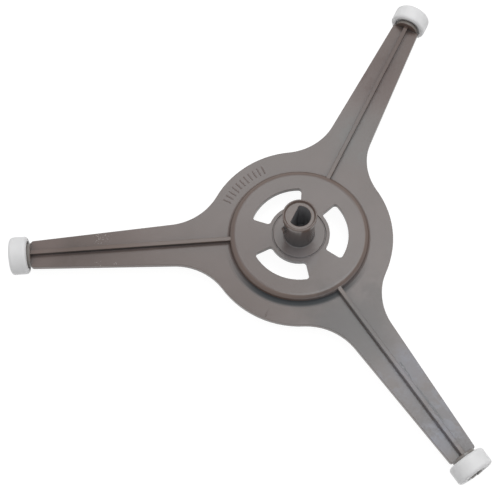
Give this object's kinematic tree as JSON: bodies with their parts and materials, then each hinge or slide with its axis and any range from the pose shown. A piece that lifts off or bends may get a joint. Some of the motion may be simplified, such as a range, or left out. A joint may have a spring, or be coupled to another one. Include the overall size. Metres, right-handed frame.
{
  "type": "microwave roller ring",
  "caption": "Three-armed spider with a central drive tube and a free-turning roller at the end of each arm; it carries and turns a microwave oven's tray.",
  "frame": {"origin": "centre of the drive socket's mouth, at the end of the drive tube", "axes": "+Z out of the drive tube's mouth; one arm points along -X, the other two at 60 degrees either side of +X. The rollers stand on the plane 26.75 mm below the origin"},
  "size_m": [0.1674, 0.1924, 0.0268],
  "materials": {
    "taupe_plastic": "fine matte moulded surface, slightly mottled",
    "white_plastic": "smooth satin white"
  },
  "bodies": {
    "spider": {"spider": "taupe_plastic"},
    "roller_1": {"roller_1": "white_plastic"},
    "roller_2": {"roller_2": "white_plastic"},
    "roller_3": {"roller_3": "white_plastic"}
  },
  "joints": [
    {"name": "roller_1_spin", "type": "hinge", "parent": "spider", "child": "roller_1", "pos_m": [0.05212, 0.09028, -0.01975], "axis": [0.5, 0.866, 0], "continuous": true},
    {"name": "roller_2_spin", "type": "hinge", "parent": "spider", "child": "roller_2", "pos_m": [-0.10425, 0, -0.01975], "axis": [-1, 0, 0], "continuous": true},
    {"name": "roller_3_spin", "type": "hinge", "parent": "spider", "child": "roller_3", "pos_m": [0.05212, -0.09028, -0.01975], "axis": [0.5, -0.866, 0], "continuous": true}
  ]
}
